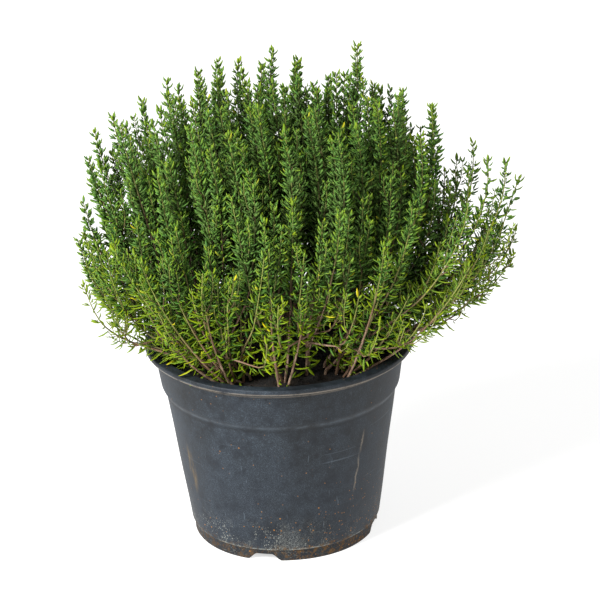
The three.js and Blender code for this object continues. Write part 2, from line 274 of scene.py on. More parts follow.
potLook = dict(
    # dustAndHighlight colours dust, scratches and the painted highlight on the step; edge colours the drip
    # and the painted highlight at the rim
    plastic=rgb(7, 11, 16), bloom=rgb(21, 28, 37), dustAndHighlight=rgb(112, 126, 138), mineral=rgb(172, 174, 164),
    mud=rgb(92, 66, 34), rust=rgb(150, 100, 40), stain=rgb(120, 96, 50), edge=rgb(150, 138, 122),
    # heights in metres between which things fade, then lines as a height and a width
    bloomHeights=(0.055, 0.095), gritHeights=(0.008, 0.036), ringHeights=(0.0072, 0.0086),
    mudHeights=(0.0085, 0.0125), fleckHeights=(0.004, 0.064), ringLine=(0.0086, 0.0009),
    stepLine=(0.0995, 0.0016), stepShade=(0.0965, 0.0016), rimLine=(0.1264, 0.0014),
    underLine=(0.123, 0.0008),
    # rusty flecks: cells in a metre, a fleck's size in its cell, and how many cells hold one
    flecks=((250, 0.17, 0.5), (520, 0.24, 0.36)), stainPlace=(-0.0585, -0.033, 0.055),
    stainRadii=(0.001, 0.006), stainFlat=(1.0, 1.0, 0.25), dripLine=(0.047, 0.0009), dripMiddle=0.066,
    dripSlant=0.17,
)


def potMaterial():
    # dark plastic under a grainy blue bloom, with wear and dirt laid over it in coats, and painted highlights
    # and painted shade at the rim and the step
    tree = MaterialTree("potPlastic")
    side, front, height = tree.parts(tree.place)
    clouds = tree.noise(15, 4.0, 0.6, (1, 1, 0.7), (0.13, 0, 0))
    mottle = tree.noise(95, 5.0, 0.75)
    grain = tree.noise(1700, 2.0, 0.8)
    streak = tree.noise(260, 3.0, 0.6, (1, 1, 0.12))
    cover = 0.35 + clouds.between(0.35, 0.6) * 0.5 + height.between(*potLook["bloomHeights"]) * 0.3
    bloom = (0.15 + grain.between(0.46, 0.72)) * mottle.between(0.3, 0.62) * cover
    upScratch = tree.noise(420, 2.0, 0.5, (1, 1, 0.035)).between(0.7, 0.75)
    crossScratch = tree.noise(60, 2.0, 0.5, (0.2, 0.2, 9), (0.3, 0.1, 0)).between(0.7, 0.74)
    scratch = upScratch * 0.2 + crossScratch * 0.22
    # pale mineral grains just above the foot, most of them on the left
    grit = (1 - tree.cells(760).between(0.18, 0.38)) * tree.noise(70, 4.0, 0.7).between(0.46, 0.58)
    film = grain.between(0.42, 0.62) * tree.noise(55, 5.0, 0.75, (1, 1, 0.6)).between(0.48, 0.62) * 0.55
    mineral = (grit + film) * (1 - height.between(*potLook["gritHeights"]))
    mineral = mineral * (1 - side.between(-0.005, 0.045) * 0.75)
    # the foot ring is dark with mud on it, and a pale line marks its upper edge
    ring = 1 - height.between(*potLook["ringHeights"])
    ringLine = height.near(*potLook["ringLine"]) * mottle.between(0.42, 0.6)
    mud = tree.noise(300, 4.0, 0.8, shift=(0.7, 0, 0)).between(0.47, 0.6)
    mud = mud * (1 - (height + (mottle - 0.5) * 0.012).between(*potLook["mudHeights"]))
    # rusty flecks: cells chosen by chance, most of them low and to the right
    fleck = 0
    for scale, size, share in potLook["flecks"]:
        where = (1 - height.between(*potLook["fleckHeights"])) * (0.1 + side.between(-0.01, 0.03) * 0.9)
        chosen = tree.parts(tree.cells(scale, out="Color"))[0]
        chosen = (1 - (chosen - (where * share * 1.6 + 0.008)) * 40).clamp()
        fleck = (1 - tree.cells(scale).between(size * 0.5, size)) * chosen + fleck
    # a faint stain on the left that fades away from its middle, and a thin drip mark that leans on the right
    away = tree.vectorMath("SUBTRACT", tree.place, potLook["stainPlace"])
    away = tree.vectorMath("LENGTH", tree.vectorMath("MULTIPLY", away, potLook["stainFlat"]), out=1)
    stain = (1 - away.between(*potLook["stainRadii"])) * streak.between(0.38, 0.6)
    lean = (height - potLook["dripMiddle"]) * potLook["dripSlant"]
    drip = (side - lean + (mottle - 0.5) * 0.005).near(*potLook["dripLine"]) * (1 - front.between(-0.02, 0.0))
    drip = drip * height.between(0.04, 0.05) * (1 - height.between(0.08, 0.088)) * streak.between(0.35, 0.55)
    # a pale double line at the rim's lower edge, a painted highlight broken up by the mottle, and the step:
    # dust and a painted highlight on its edge, and painted shade below
    stepLine = height.near(*potLook["stepLine"]) * mottle.between(0.36, 0.6)
    rimLine = height.near(*potLook["rimLine"]) * 0.9 + height.near(*potLook["underLine"]) * 0.35
    coats = [
        (clouds.between(0.36, 0.64) * 0.9, "bloom"),
        ((bloom * 0.3).clamp(), "dustAndHighlight"),
        (scratch, "dustAndHighlight"),
        ((mineral * 0.6).clamp(), "mineral"),
        (ring * 0.6, "plastic"),
        (ringLine * 0.5, "mineral"),
        (mud * (0.5 + side.between(-0.03, 0.03) * 0.4), "mud"),
        (fleck.clamp() * 0.9, "rust"),
        (stain * 0.55, "stain"),
        (drip * 0.6, "edge"),
        # dust and a painted highlight on the step's edge
        (stepLine * 0.2, "dustAndHighlight"),
        # painted shade below the step
        (height.near(*potLook["stepShade"]) * 0.45, "plastic"),
        # painted highlight at the rim's lower edge
        (rimLine * mottle.between(0.3, 0.52), "edge"),
    ]
    colour = potLook["plastic"]
    for share, coat in coats:
        colour = tree.mix(share, colour, potLook[coat])
    roughness = 0.48 + clouds * 0.12 + bloom * 0.25 + mineral * 0.2 + mud * 0.2
    bump = grain * 0.25 + mottle * 0.5 - scratch * 0.5 + mineral + mud * 0.8 + fleck * 0.6
    return tree.finish(colour, roughness.clamp(), bump, 0.4, 0.0006, Specular_IOR_Level=0.32)


leafFinish = leafMaterial()
stemFinish = stemMaterial()
soilFinish = soilMaterial()
potFinish = potMaterial()
print("finishes made")

# lengths in mm, the same as in the solids
pot = dict(
    sides=264, rimRadius=85.0, height=130.0, rimThickness=3.6, collarTop=79.3, collarFoot=75.5, bodyTop=73.0,
    bodyFoot=60.4, foot=58.7, shoulder=97.8, shoulderRise=4.0, footHeight=7.6, wall=1.6, floor=1.8, pad=30.0,
    raised=5.6, floorSlope=6.0, notchWidth=22.0, notchHeight=4.8, notches=4, firstNotch=math.radians(-104.5),
    drains=8, drainRadius=4.5, drainCircle=46.0, rounding=1.1, longest=5.0,
    # out of round: waves round the pot, how deep in mm, and where they start
    wobble=((2, 0.35, 0.6), (3, 0.2, 2.1)), dent=0.25,
)


def roundedProfile(corners, radius, steps=5):
    # straight runs with each corner swapped for a short curve: a quadratic bend from one side to the next
    corners = np.array(corners, float)
    points = [corners[0]]
    for before, corner, after in zip(corners[:-2], corners[1:-1], corners[2:]):
        reach = min(radius, 0.45 * np.linalg.norm(corner - before), 0.45 * np.linalg.norm(after - corner))
        start = corner + unit(before - corner) * reach
        end = corner + unit(after - corner) * reach
        t = np.linspace(0, 1, steps)[:, None]
        points.extend((1 - t) ** 2 * start + 2 * t * (1 - t) * corner + t**2 * end)
    points.append(corners[-1])
    return np.array(points)


def splitLong(profile, longest):
    # extra points along the straight runs, so that the wall can be dented
    pieces = [profile[:1]]
    for a, b in zip(profile[:-1], profile[1:]):
        count = max(1, int(np.ceil(np.linalg.norm(b - a) / longest)))
        pieces.append(a + (b - a) * (np.arange(1, count + 1) / count)[:, None])
    return np.concatenate(pieces)


def potProfile():
    # radius and height from the middle of the underside, up the outside, over the rim and down the inside
    p = pot
    rimFoot = p["height"] - p["rimThickness"]
    stepTop = p["shoulder"] + p["shoulderRise"]
    floorTop = p["raised"] + p["floor"]
    outside = [
        (0, 0),
        (p["pad"], 0),
        (p["pad"] + p["floorSlope"], p["raised"]),
        (p["foot"] - p["wall"] - 0.2, p["raised"]),
        (p["foot"] - p["wall"], 0),
        (p["foot"], 0),
        (p["foot"] + 0.2, p["footHeight"]),
        (p["bodyFoot"], p["footHeight"] + 0.6),
        (p["bodyTop"], p["shoulder"]),
        (p["collarFoot"], stepTop),
        (p["collarTop"], rimFoot),
        (p["rimRadius"], rimFoot),
        (p["rimRadius"], p["height"]),
        (p["collarTop"] - p["wall"], p["height"]),
        (p["collarTop"] - p["wall"] - 0.1, rimFoot - 2),
        (p["collarFoot"] - p["wall"], stepTop + 0.4),
        (p["bodyTop"] - p["wall"], p["shoulder"] + 0.4),
        (p["bodyFoot"] - p["wall"], floorTop + 2),
        (p["foot"] - p["wall"] - 1.5, floorTop),
        (p["pad"] + p["floorSlope"] - 1, floorTop),
        (p["pad"] - 1, p["floor"]),
        (0, p["floor"]),
    ]
    return splitLong(roundedProfile(outside, p["rounding"]), p["longest"])


def makePot():
    # the profile turned about Z. Where a notch is, the foot ring's lower edge is lifted to the notch's arch.
    profile = potProfile()
    radius, height, angle = profile[:, :1], profile[:, 1:], angles(pot["sides"])[None]
    step = 2 * math.pi / pot["notches"]
    offCentre = (angle - pot["firstNotch"] + step / 2) % step - step / 2
    across = np.abs(offCentre) * pot["foot"] / (pot["notchWidth"] / 2)
    arch = pot["notchHeight"] * (1 - smoothStep(0.42, 1.05, across))
    ring = smoothStep(pot["pad"] + pot["floorSlope"] + 8, pot["foot"] - pot["wall"] - 1.0, radius)
    height = np.maximum(height, np.where(height < pot["footHeight"], arch * ring, 0))
    # a pot that has been handled: slightly out of round, with shallow dents
    wobble = sum(depth * np.cos(waves * angle + start) for waves, depth, start in pot["wobble"])
    dent = pot["dent"] * np.sin(5 * angle + height / 23) * np.sin(height / 17 + 1)
    radius = radius + smoothStep(20, 110, height) * wobble + np.where(radius > pot["pad"] + 8, dent, 0)
    points = np.stack([radius * np.cos(angle), radius * np.sin(angle), height], -1).reshape(-1, 3) * mm
    rows, columns = len(profile), pot["sides"]
    poles = np.array([[0, 0, 0], [0, 0, pot["floor"] * mm]])
    body = np.concatenate([points[columns : (rows - 1) * columns], poles])
    quads, triangles = tubeFaces(rows - 2, columns)
    return makePiece("pot", body, quads, [potFinish], triangles)


def choose(things):
    # only these are selected, and the first of them is the active one
    bpy.ops.object.select_all(action="DESELECT")
    for thing in things:
        thing.select_set(True)
    bpy.context.view_layer.objects.active = things[0]


def drillDrains(piece):
    # round holes through the raised floor: upright cylinders, joined and cut away
    drills = []
    for turn in pot["firstNotch"] + angles(pot["drains"]):
        spot = Vector((math.cos(turn), math.sin(turn), 0)) * pot["drainCircle"] * mm
        spot.z = (pot["raised"] + 1) * mm
        radius = pot["drainRadius"] * mm
        bpy.ops.mesh.primitive_cylinder_add(vertices=32, radius=radius, depth=0.012, location=spot)
        drills.append(bpy.context.object)
    choose(drills)
    bpy.ops.object.join()
    drill = bpy.context.object
    cut = piece.modifiers.new("drains", "BOOLEAN")
    cut.object, cut.operation, cut.solver = drill, "DIFFERENCE", "EXACT"
    choose([piece])
    bpy.ops.object.modifier_apply(modifier=cut.name)
    bpy.data.objects.remove(drill)


potPiece = makePot()
drillDrains(potPiece)
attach(potPiece, "root")
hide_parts("pot")
print("pot made:", len(potPiece.data.polygons), "faces")

soil = dict(
    edgeHeight=119.0, dome=4.0, bump=1.1, clearance=0.6, sides=240, rings=72, roughness=0.9, crumbs=2600,
    crumbSize=(0.5, 2.2), seed=5,
)


def soilHeight(x, y):
    # a low dome with lumps: the same surface as the solid under it
    share = np.minimum(1, np.hypot(x, y) / pot["bodyTop"])
    lumps = np.sin(x / 7.3 + 1.1) * np.cos(y / 8.1) + 0.6 * np.sin((x - y) / 5.2)
    return soil["edgeHeight"] + soil["dome"] * (1 - share**2) + soil["bump"] * lumps * (1 - share**6)


def fineLumps(x, y):
    # small clods: sines at odd angles and shrinking wavelengths, added up
    total = np.zeros_like(x)
    for k in range(1, 9):
        turn, wave = k * 2.4, 9.0 * 0.72**k
        phase = 1.7 * k + 0.6 * np.sin(y / wave / 2)
        total += 0.8**k * np.sin((x * math.cos(turn) + y * math.sin(turn)) / wave + phase)
    return total


def soilEdge():
    # the collar's inside radius at the soil's edge, in proportion to the height, less the clearance
    collarHeights = pot["shoulder"] + pot["shoulderRise"], pot["height"] - pot["rimThickness"]
    radius = np.interp(soil["edgeHeight"], collarHeights, (pot["collarFoot"], pot["collarTop"]))
    return radius - pot["wall"] - soil["clearance"]


def makeSoil():
    # the top is a polar grid lifted by the lumps, and the sides follow the pot's inside down to its floor
    p, edge = pot, soilEdge()
    reach = edge * np.linspace(0, 1, soil["rings"] + 1)[1:] ** 0.9
    bottom, floorTop = p["floor"] + soil["clearance"], p["raised"] + p["floor"] + soil["clearance"]
    side = [
        (p["collarFoot"] - p["wall"], p["shoulder"] + p["shoulderRise"] - 0.4),
        (p["bodyTop"] - p["wall"], p["shoulder"] - 0.4),
        (p["bodyFoot"] - p["wall"], floorTop + 2),
        (p["foot"] - p["wall"] - 2, floorTop),
        (p["pad"] + p["floorSlope"] - 1, floorTop),
        (p["pad"] - 1, bottom),
    ]
    sideRadius, sideHeight = np.array(side).T
    radius = np.concatenate([reach, sideRadius - soil["clearance"]])
    angle = angles(soil["sides"])
    x, y = radius[:, None] * np.cos(angle), radius[:, None] * np.sin(angle)
    z = soilHeight(x, y) + soil["roughness"] * fineLumps(x, y) * (0.4 + 0.6 * (radius[:, None] < edge - 1))
    z[len(reach) :] = sideHeight[:, None]
    poles = [[0, 0, soilHeight(0, 0)], [0, 0, bottom]]
    points = np.concatenate([np.stack([x, y, z], -1).reshape(-1, 3), poles]) * mm
    quads, triangles = tubeFaces(len(radius), soil["sides"], -1)
    return makePiece("soil", points, quads, [soilFinish], triangles)


def makeCrumbs():
    # loose crumbs, each an octahedron with its six points pulled about by chance and half sunk in the soil
    chance = np.random.default_rng(soil["seed"])
    count = soil["crumbs"]
    reach = (soilEdge() - 1.5) * np.sqrt(chance.random(count))
    turn = chance.random(count) * 2 * math.pi
    x, y = reach * np.cos(turn), reach * np.sin(turn)
    size = blend(*soil["crumbSize"], chance.random(count) ** 3)
    z = soilHeight(x, y) + soil["roughness"] * fineLumps(x, y) + 0.2 * size
    corners = np.array([(1, 0, 0), (0, 1, 0), (-1, 0, 0), (0, -1, 0), (0, 0, 1), (0, 0, -1)], float)
    pull = 0.55 + 0.6 * chance.random((count, 6, 1))
    stretch = np.stack([1 + chance.random(count), np.ones(count), 0.5 + 0.4 * chance.random(count)], -1)
    shape = corners * pull * stretch[:, None] * size[:, None, None] * 0.6
    spin = chance.random(count) * 2 * math.pi
    c, s = np.cos(spin)[:, None], np.sin(spin)[:, None]
    x0, y0, z0 = np.moveaxis(shape, -1, 0)
    shape = np.stack([x0 * c - y0 * s, x0 * s + y0 * c, z0], -1)
    points = (shape + np.stack([x, y, z], -1)[:, None]).reshape(-1, 3) * mm
    upper = np.array([(0, 1, 4), (1, 2, 4), (2, 3, 4), (3, 0, 4)])
    faces = np.concatenate([upper, upper[:, [1, 0, 2]] + (0, 0, 1)])
    triangles = (faces[None] + 6 * np.arange(count)[:, None, None]).reshape(-1, 3)
    return makePiece("soilCrumbs", points, (), [soilFinish], triangles, smooth=False)


soilPiece = makeSoil()
crumbPiece = makeCrumbs()
for piece in (soilPiece, crumbPiece):
    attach(piece, "root")
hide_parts("soil")
print("soil made:", len(crumbPiece.data.polygons) // 8, "crumbs")

bush = dict(
    sprays=36, shoots=74, layoutSeed=24, rootSpread=57.0, crownPull=0.42,
    crowns=[
        (-0.36, -0.62), (0.42, -0.66), (0.74, 0.08), (-0.78, 0.14), (0.0, 0.1), (0.5, 0.72), (-0.36, 0.74)
    ],
    centre=(5.5, 8.0), width=136.0, skew=0.035, depth=88.0, top=305.0, drop=39.0, dropPower=3.2,
    dropLean=0.19, backDrop=0.22, cornerDrop=45.0, tipSpread=15.0, flankFrom=0.78, flankDrop=95.0,
    flankCrowding=1.5, flankStretch=0.05, jitter=0.035, arch=2.4, flankArch=3.2, lean=0.15, stir=4.5,
    rootRise=1.5, fillShoots=290, fillApart=0.064, fillLowest=168.0, fillDrop=60.0, fillSeed=11, lineSteps=72,
    # lone shoots as points in mm, each with the share of it that is bare: three low ones on the left, a tall
    # one, and two arms on the right
    lone=[
        (0.12, [(-40, -30, 112), (-66, -36, 136), (-92, -40, 146), (-112, -40, 158), (-120, -38, 186)]),
        (0.12, [(-42, -22, 112), (-66, -28, 138), (-88, -30, 154), (-106, -30, 178), (-111, -28, 210)]),
        (0.12, [(-45, -5, 112), (-70, -8, 138), (-98, -10, 152), (-116, -8, 172), (-123, -4, 202)]),
        (0.3, [(25, 22, 112), (38, 26, 160), (49, 30, 220), (54, 30, 270), (55, 30, 312)]),
        (0.52, [(48, -14, 112), (88, -12, 142), (114, -8, 152), (136, -3, 182), (153, 2, 231)]),
        (0.6, [(50, -10, 112), (66, -8, 130), (96, -4, 144), (120, 0, 158), (136, 4, 186), (141, 8, 212)]),
    ],
    # fans of low stems in front: where each crown stands, the first and last lean in degrees, and how many
    fans=[((-27, -50), (-56, 2), 11), ((6, -56), (-24, 20), 5), ((38, -44), (0, 60), 7)],
    fanLength=(62.0, 132.0), fanForward=30.0, fanSeed=4,
)


def randomFrom(seed):
    # the same small seeded generator of numbers from 0 to 1 as in the solids' source
    state = seed & 0xFFFFFFFF
    while True:
        state = (state + 0x6D2B79F5) & 0xFFFFFFFF
        mixed = ((state ^ (state >> 15)) * (1 | state)) & 0xFFFFFFFF
        mixed = ((mixed + (((mixed ^ (mixed >> 7)) * (61 | mixed)) & 0xFFFFFFFF)) & 0xFFFFFFFF) ^ mixed
        yield ((mixed ^ (mixed >> 14)) & 0xFFFFFFFF) / 4294967296


def seedPoint(i, count):
    # point i of count on the unit disc, spread evenly as a sunflower's seeds are
    radius = math.sqrt((i + 0.5) / count)
    return np.array([math.cos(i * goldenAngle), math.sin(i * goldenAngle)]) * radius


def nearest(point, places):
    # which of the places is the shortest way from the point
    return int(np.argmin(np.hypot(*(places - point).T)))


def newShoot(plan, low, drop, fork):
    # low is 1 for the lowest shoots of the flanks, which arch more and reach a little further out
    arch = blend(bush["arch"], bush["flankArch"], low)
    return {"plan": plan * (1 + bush["flankStretch"] * low), "drop": drop, "arch": arch, "fork": fork}


def layOut():
    # sprays with their roots, and each shoot in the spray with the nearest root
    random = randomFrom(bush["layoutSeed"])
    crowns = np.array(bush["crowns"])
    places = np.array([seedPoint(k, bush["sprays"]) for k in range(bush["sprays"])])
    sprays = []
    for place in places:
        x, y = blend(place, crowns[nearest(place, crowns)], bush["crownPull"]) * bush["rootSpread"]
        sprays.append({"place": place, "root": np.array([x, y, soilHeight(x, y)]), "shoots": []})
        next(random)  # the solids' source turns the stem by this draw
    for i in range(bush["shoots"]):
        plan = seedPoint(i, bush["shoots"])
        plan[0] += (next(random) - 0.5) * 2 * bush["jitter"]
        plan[1] += (next(random) - 0.5) * 2 * bush["jitter"]
        low = ((i * math.sqrt(2)) % 1) ** bush["flankCrowding"] if np.hypot(*plan) > bush["flankFrom"] else 0
        drop = next(random) * bush["tipSpread"] + low * bush["flankDrop"]
        next(random)  # and here the shoot
        fork = 0.1 + 0.16 * next(random)
        sprays[nearest(plan, places)]["shoots"].append(newShoot(plan, low, drop, fork))
    for spray in sprays:
        spray["shoots"].sort(key=lambda shoot: np.hypot(*(shoot["plan"] - spray["place"])))
    return [spray for spray in sprays if spray["shoots"]]


def tipPoint(shoot):
    # wide, lower towards the edge, more so on the right, less so behind, and rounded at the two back corners
    u, v = shoot["plan"]
    x = bush["centre"][0] + bush["width"] * u * (1 + bush["skew"] * u)
    y = bush["centre"][1] + bush["depth"] * v
    edge, behind = math.hypot(u, v), max(0, v)
    drop = bush["drop"] * min(1, edge) ** bush["dropPower"] * (1 + bush["dropLean"] * u)
    drop *= 1 + (bush["backDrop"] - 1) * (behind / edge) ** 3
    drop += bush["cornerDrop"] * abs(u) * behind
    return np.array([x, y, bush["top"] - drop - shoot["drop"]])


def stemLine(spray, shoot, t):
    # from the root outwards in an arch and up to the tip, with slow bends that neighbours share
    tip, root = tipPoint(shoot), spray["root"]
    spread = bush["lean"] * t + (1 - bush["lean"]) * (1 - (1 - t) ** shoot["arch"])
    x, y = [blend(root[k], tip[k], spread) for k in (0, 1)]
    z = root[2] + bush["rootRise"] + (tip[2] - root[2] - bush["rootRise"]) * t
    stir = bush["stir"] * np.minimum(1, 3 * t)
    stirred = x + stir * np.sin(z / 31 + y / 52 + 1.3), y + stir * np.sin(z / 27 + x / 47 + 4.1)
    return np.stack([*stirred, z], -1)


def shootLine(spray, index, t):
    # a side shoot leaves the main shoot's line at its fork
    main = stemLine(spray, spray["shoots"][0], t)
    if index == 0:
        return main
    shoot = spray["shoots"][index]
    share = np.clip((t - shoot["fork"]) / (0.5 - shoot["fork"]), 0, 1)
    return blend(main, stemLine(spray, shoot, t), (share * (2 - share))[:, None])


def fillBetween(sprays):
    # finer shoots in the gaps between the solids' shoots, a little lower, in the spray with the nearest root
    chance = np.random.default_rng(bush["fillSeed"])
    taken = np.array([shoot["plan"] for spray in sprays for shoot in spray["shoots"]])
    places = np.array([spray["place"] for spray in sprays])
    for i in range(bush["fillShoots"]):
        plan = seedPoint(i, bush["fillShoots"]) + (chance.random(2) - 0.5) * 0.04
        low = chance.random() ** 1.2 if np.hypot(*plan) > bush["flankFrom"] - 0.04 else 0
        drop = 2 + bush["fillDrop"] * chance.random() ** 0.6 + low * bush["flankDrop"]
        fork = 0.04 + 0.3 * chance.random()
        apart, shoot = np.min(np.hypot(*(taken - plan).T)), newShoot(plan, low, drop, fork)
        if apart >= bush["fillApart"] and tipPoint(shoot)[2] >= bush["fillLowest"]:
            sprays[nearest(shoot["plan"], places)]["shoots"].append(shoot)


shootLook = dict(
    rootDepth=9.0, rootRadius=1.35, tipRadius=0.3, sideRadius=0.8, loneRadius=1.1, fanBare=0.08, stemSides=5,
    ringSpacing=6.0, twigs=2.0, branchlets=0.8, twigLength=(10.0, 24.0), branchletLength=(12.0, 28.0),
    twigRadius=0.4, twigTip=0.25, shortestTwig=9.0, rimReach=70.0, rimTop=142.0, seed=31,
)


def measured(points, **known):
    # a line with the distance along it at each point, and what else is known of it
    lengths = np.concatenate([[0], np.cumsum(np.linalg.norm(np.diff(points, axis=0), axis=1))])
    return {"points": points, "along": lengths, "length": lengths[-1], **known}


def placeOn(line, s):
    # the places at distances s along a line, in proportion between its points
    return np.stack([np.interp(s, line["along"], line["points"][:, k]) for k in range(3)], -1)


def onLine(line, s):
    # places and directions at distances s along a line
    at = placeOn(line, s)
    step = 0.8
    ahead, behind = [placeOn(line, np.clip(q, 0, line["length"])) for q in (s + step, s - step)]
    return at, unit(ahead - behind)


def shootLines(sprays):
    # every shoot's line, with its thickness and how near the bush's edge it is
    lines, thin = [], shootLook["tipRadius"]
    for k, spray in enumerate(sprays):
        for index, shoot in enumerate(spray["shoots"]):
            start = 0 if index == 0 else shoot["fork"]
            t = start + (1 - start) * np.linspace(0, 1, bush["lineSteps"])
            points = shootLine(spray, index, t)
            if index == 0:
                root = spray["root"]
                depth = np.array([root[0], root[1], root[2] - shootLook["rootDepth"]])
                points = np.concatenate([[depth, blend(depth, root, 0.5)], points])
            thick = shootLook["rootRadius"] if index == 0 else shootLook["sideRadius"]
            edge = np.hypot(*shoot["plan"])
            lines.append(measured(points, spray=k, thick=thick, thin=thin, kind="shoot", edge=edge))
    roots = np.array([spray["root"][:2] for spray in sprays])
    lone = [(bare, smoothLine(np.array(places, float))) for bare, places in bush["lone"]]
    for bare, points in lone + fanLines():
        owner, thick = nearest(points[0, :2], roots), shootLook["loneRadius"]
        lines.append(measured(points, spray=owner, thick=thick, thin=thin, kind="shoot", edge=1.0, bare=bare))
    return lines


def fanLines():
    # stems that lean out of a crown in a fan: first outwards and forwards, then bending up
    chance = np.random.default_rng(bush["fanSeed"])
    t = np.linspace(0, 1, bush["lineSteps"])
    fans = []
    for (x, y), (first, last), count in bush["fans"]:
        for k in range(count):
            lean = math.radians(blend(first, last, (k + 0.1 + 0.8 * chance.random()) / count))
            length = blend(*bush["fanLength"], chance.random())
            jitter, forward, phase = chance.normal(0, 4, 2), 0.5 + 0.7 * chance.random(), chance.random() * 6
            out = math.sin(lean) * length * (t - 0.2 * t**2) + 1.6 * t * np.sin(5 * t + phase)
            ahead = bush["fanForward"] * forward * (t - 0.55 * t**2)
            up = math.cos(lean) * length * (0.8 * t + 0.2 * t**2) + 12 * t**2
            points = np.stack([x + jitter[0] + out, y + jitter[1] - ahead, soilHeight(x, y) - 2 + up], -1)
            fans.append((shootLook["fanBare"], points))
    return fans


def smoothLine(places):
    # straight runs between the places, then each point is swapped a few times for the mean of those round it
    along = np.concatenate([[0], np.cumsum(np.linalg.norm(np.diff(places, axis=0), axis=1))])
    s = np.linspace(0, along[-1], bush["lineSteps"])
    line = np.stack([np.interp(s, along, places[:, k]) for k in range(3)], -1)
    for _ in range(60):
        line[1:-1] = (line[:-2] + line[1:-1] + line[2:]) / 3
    return line


def sideLine(line, s, out, length, rise):
    # a side branch: outwards from the line at distance s, then bending up
    (at,), (direction,) = onLine(line, np.array([s]))
    u = np.linspace(0, 1, 14)[:, None]
    return at + length * (out * (0.8 * u - 0.45 * u**2) + direction * rise * u + np.array([0, 0, 0.5]) * u**2)


def twigLines(lines):
    # low twigs on the outer shoots, and upright branchlets higher up
    chance = np.random.default_rng(shootLook["seed"])
    twigs = []
    for line in lines:
        outer = 0.3 + 0.7 * smoothStep(0.3, 0.9, line["edge"])
        low, high = chance.poisson(shootLook["twigs"] * outer), chance.poisson(shootLook["branchlets"])
        if "bare" in line:
            low, high = 0, high + 1
        for kind in ["twig"] * low + ["branchlet"] * high:
            share = 0.2 + 0.45 * chance.random() if kind == "twig" else 0.55 + 0.3 * chance.random()
            if "bare" in line:
                share = np.clip(share, line["bare"] + 0.1, 0.72)
            turn = chance.random() * 2 * math.pi
            (_,), (direction,) = onLine(line, np.array([line["length"] * share]))
            out = unit(np.cross(direction, [math.cos(turn), math.sin(turn), 0.15]))
            length = blend(*shootLook[kind + "Length"], chance.random() ** 1.4)
            length = min(length, 0.92 * line["length"] * (1 - share))
            points = sideLine(line, line["length"] * share, out, length, 0.4 if kind == "twig" else 0.85)
            x, y, z = points.T
            overRim = (np.hypot(x, y) > shootLook["rimReach"]) & (z < shootLook["rimTop"])
            if length < shootLook["shortestTwig"] or z.min() < soil["edgeHeight"] or np.any(overRim):
                continue
            thick, thin = shootLook["twigRadius"], shootLook["twigTip"]
            owner, edge = line["spray"], line["edge"]
            twigs.append(measured(points, spray=owner, thick=thick, thin=thin, kind=kind, edge=edge))
    return twigs


leaf = dict(
    spacing=3.5, crowding=1.25, length=8.3, tipLength=5.4, width=0.29, tipWidth=0.38, openTop=0.85,
    openMid=1.3, openLow=1.5, curl=-0.6, leafyInner=85.0, leafyOuter=240.0, bareOuter=0.1, bareInner=0.26,
    # baseShade is painted shade: darkest at each leaf's foot by the stem, lighter towards its tip
    twigSize=0.8, tuftAngle=0.7, tuftReach=2.9, tuftSize=0.74, tuftOpening=0.85, baseShade=(-0.35, 0.22),
    # where a shoot counts as an outer one, and distances from its tip over which leaves and tufts grow
    outerEdge=(0.45, 0.8), tipSpan=(0.0, 50.0), closedSpan=(0.0, 16.0), tuftSpan=(0.0, 45.0),
    tipTufts=(3.0, 12.0),
    # heights that count as low, depths that count as front, and where a leaf would lie over the pot's rim
    lowHeights=(160.0, 235.0), frontDepths=(-10.0, 45.0), rimReach=(64.0, 72.0), rimHeights=(134.0, 142.0),
    rimFront=-40.0, rightSide=(80.0, 115.0),
    # shares of the leaves that are left out there, and how much longer and narrower those low in front are
    insideOut=0.4, lowOut=0.3, rimOut=0.8, lowTuftsOut=0.9, rightOut=(0.32, 0.65), lowLonger=0.2,
    lowNarrower=0.36,
    # what being low in front and near the tip add to a leaf's freshness, and the painted shade that being
    # deep inside, where little light gets in, takes from it
    fresh=0.38, lowFresh=0.45, tipFresh=0.16, insideShade=-0.5, freshSpread=0.12, seed=17,
    # stations along a leaf, and its section: how far across and above in half widths, and how pale: the keel
    # has the pale underside, and the paler edges are a painted highlight
    main=([0, 0.2, 0.5, 0.8, 1], [(1, 0, 0.5), (0, 0.05, 0), (-1, 0, 0.5), (0, -0.85, 1)]),
    small=([0, 0.35, 0.75, 1], [(1, 0, 0.4), (-1, 0, 0.4), (0, -0.85, 1)]),
)


def acrossStem(direction, turn):
    # two directions across a stem, the first at the angle turn round it
    reference = np.where(np.abs(direction[:, [0]]) < 0.8, [[1.0, 0, 0]], [[0, 1.0, 0]])
    first = unit(np.cross(direction, reference))
    second = np.cross(direction, first)
    c, s = np.cos(turn)[:, None], np.sin(turn)[:, None]
    return first * c + second * s, second * c - first * s


def stemRadius(line, share):
    # from thick to thin, the faster the nearer the root
    return blend(line["thick"], line["thin"], share**0.7)


def stemGrid(line):
    # a tube round the line, with slight knots, closed by a point at each end
    count = max(4, int(line["length"] / shootLook["ringSpacing"]))
    s = np.linspace(0, line["length"], count)
    at, direction = onLine(line, s)
    share = s / line["length"]
    radius = stemRadius(line, share) * (1 + 0.12 * np.sin(s / 2.1))
    first, second = acrossStem(direction, np.zeros(count))
    sides = shootLook["stemSides"]
    angle = angles(sides)[:, None]
    ring = first[:, None] * np.cos(angle) + second[:, None] * np.sin(angle)
    points = at[:, None] + ring * radius[:, None, None]
    ends = [at[0] - direction[0] * 0.3, at[-1] + direction[-1] * 0.6]
    points = np.concatenate([points.reshape(-1, 3), ends])
    wood = 1 - np.concatenate([np.repeat(share, sides), [0, 1]])
    return points, *tubeFaces(count, sides), wood


def outerShare(line):
    # 0 for a shoot in the middle of the bush, 1 for one at its edge
    return smoothStep(*leaf["outerEdge"], line["edge"])


